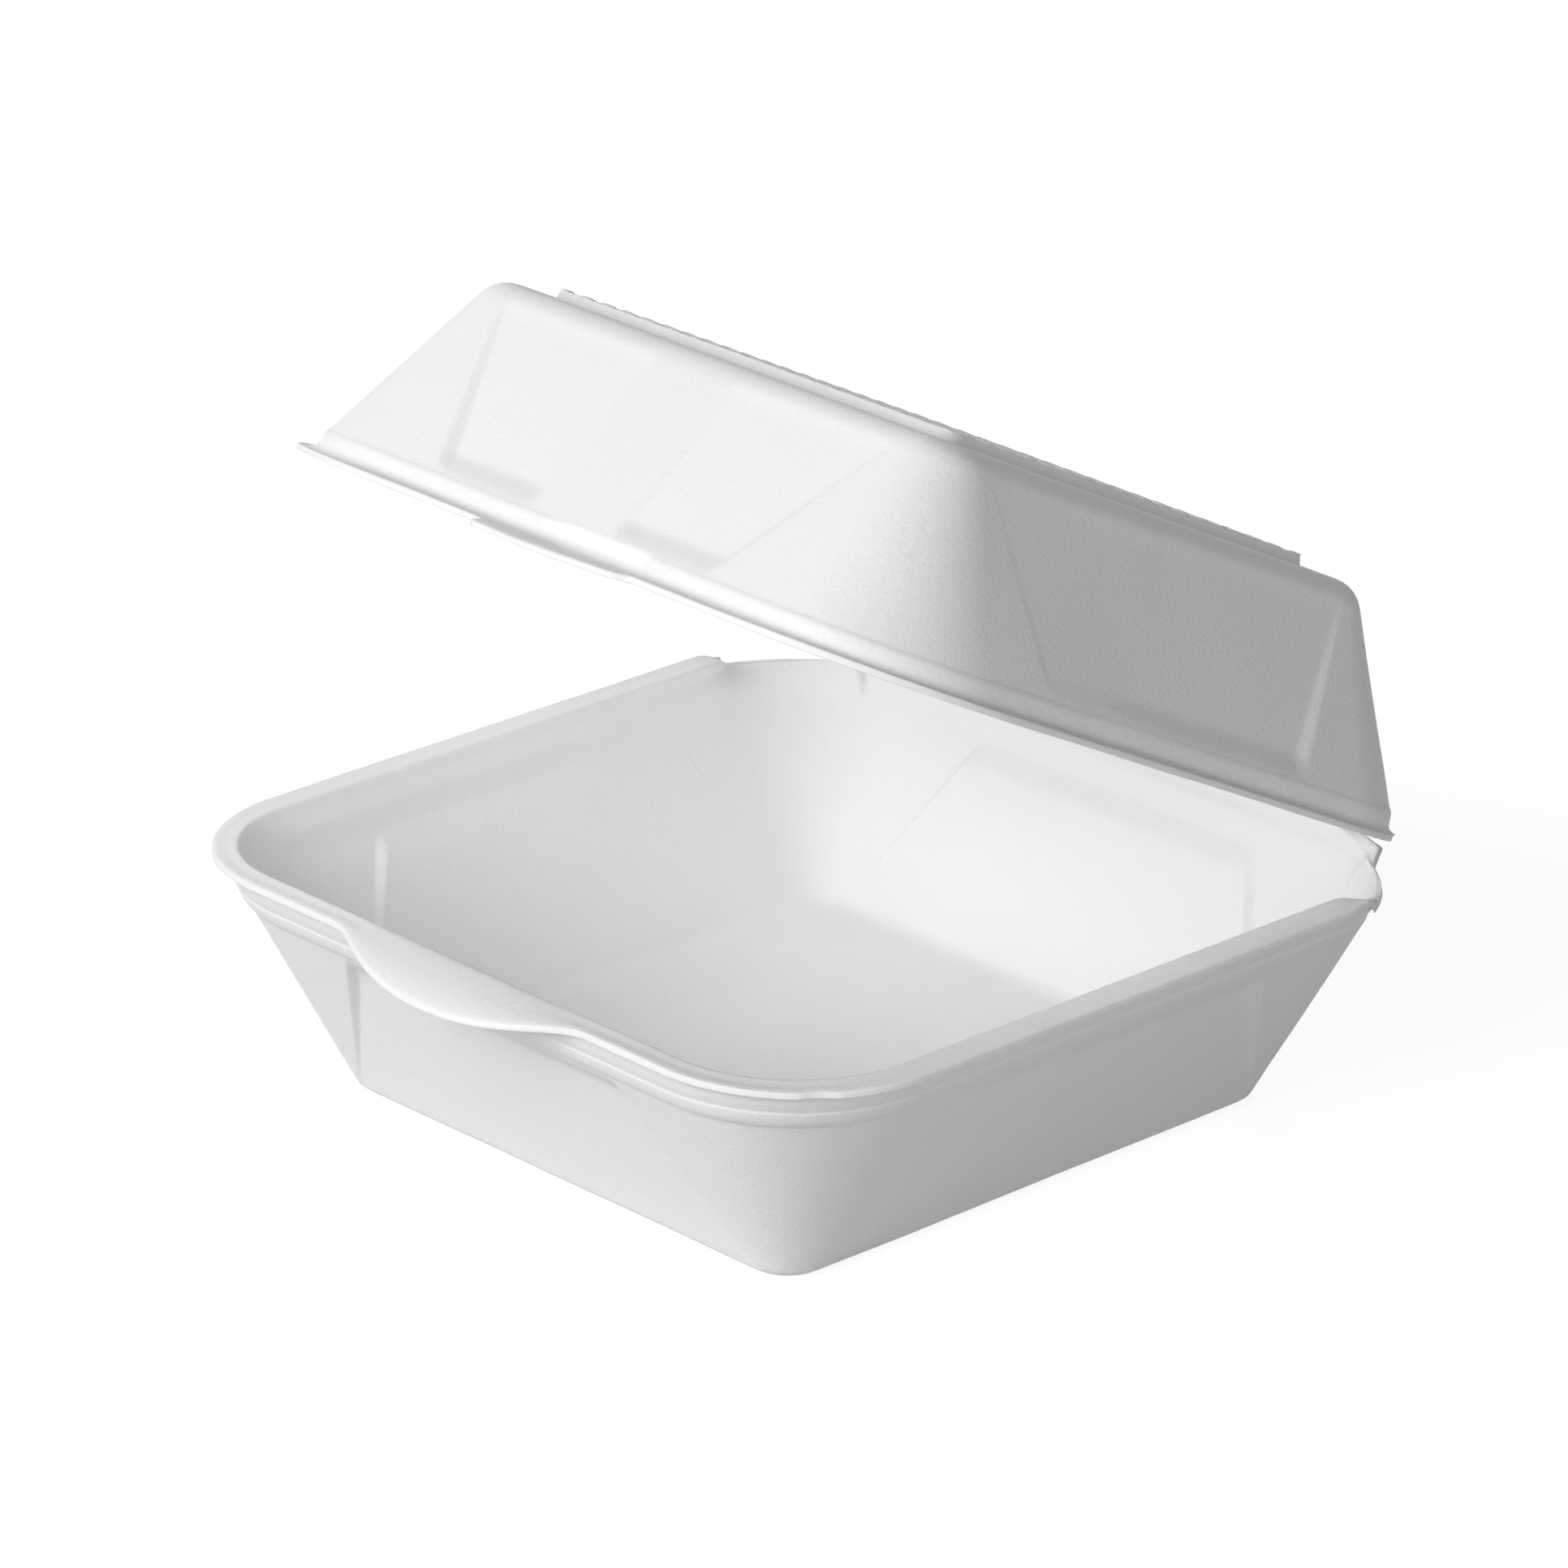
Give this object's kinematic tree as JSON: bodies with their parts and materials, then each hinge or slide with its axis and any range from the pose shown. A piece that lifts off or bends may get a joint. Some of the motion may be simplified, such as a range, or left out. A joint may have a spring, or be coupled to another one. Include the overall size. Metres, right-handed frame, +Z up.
{
  "type": "foam clamshell food container",
  "caption": "Square moulded foam clamshell for take-away food: deep tray and domed lid joined by a fold at the back, lid standing ajar, finger tabs at the front.",
  "frame": {"origin": "middle of the tray's flat base", "axes": "+Z up out of the tray, +X along the fold to the right, +Y from the front tab to the fold at the back"},
  "size_m": [0.1524, 0.1611, 0.1336],
  "materials": {
    "foam": "matte white polystyrene foam skin"
  },
  "bodies": {
    "tray": {"tray": "foam"},
    "lid": {"lid": "foam"}
  },
  "joints": [
    {"name": "lid_hinge", "type": "hinge", "parent": "tray", "child": "lid", "pos_m": [0, 0.0744, 0.04235], "axis": [-1, 0, 0], "range_deg": [-26.6, 153.4]}
  ]
}
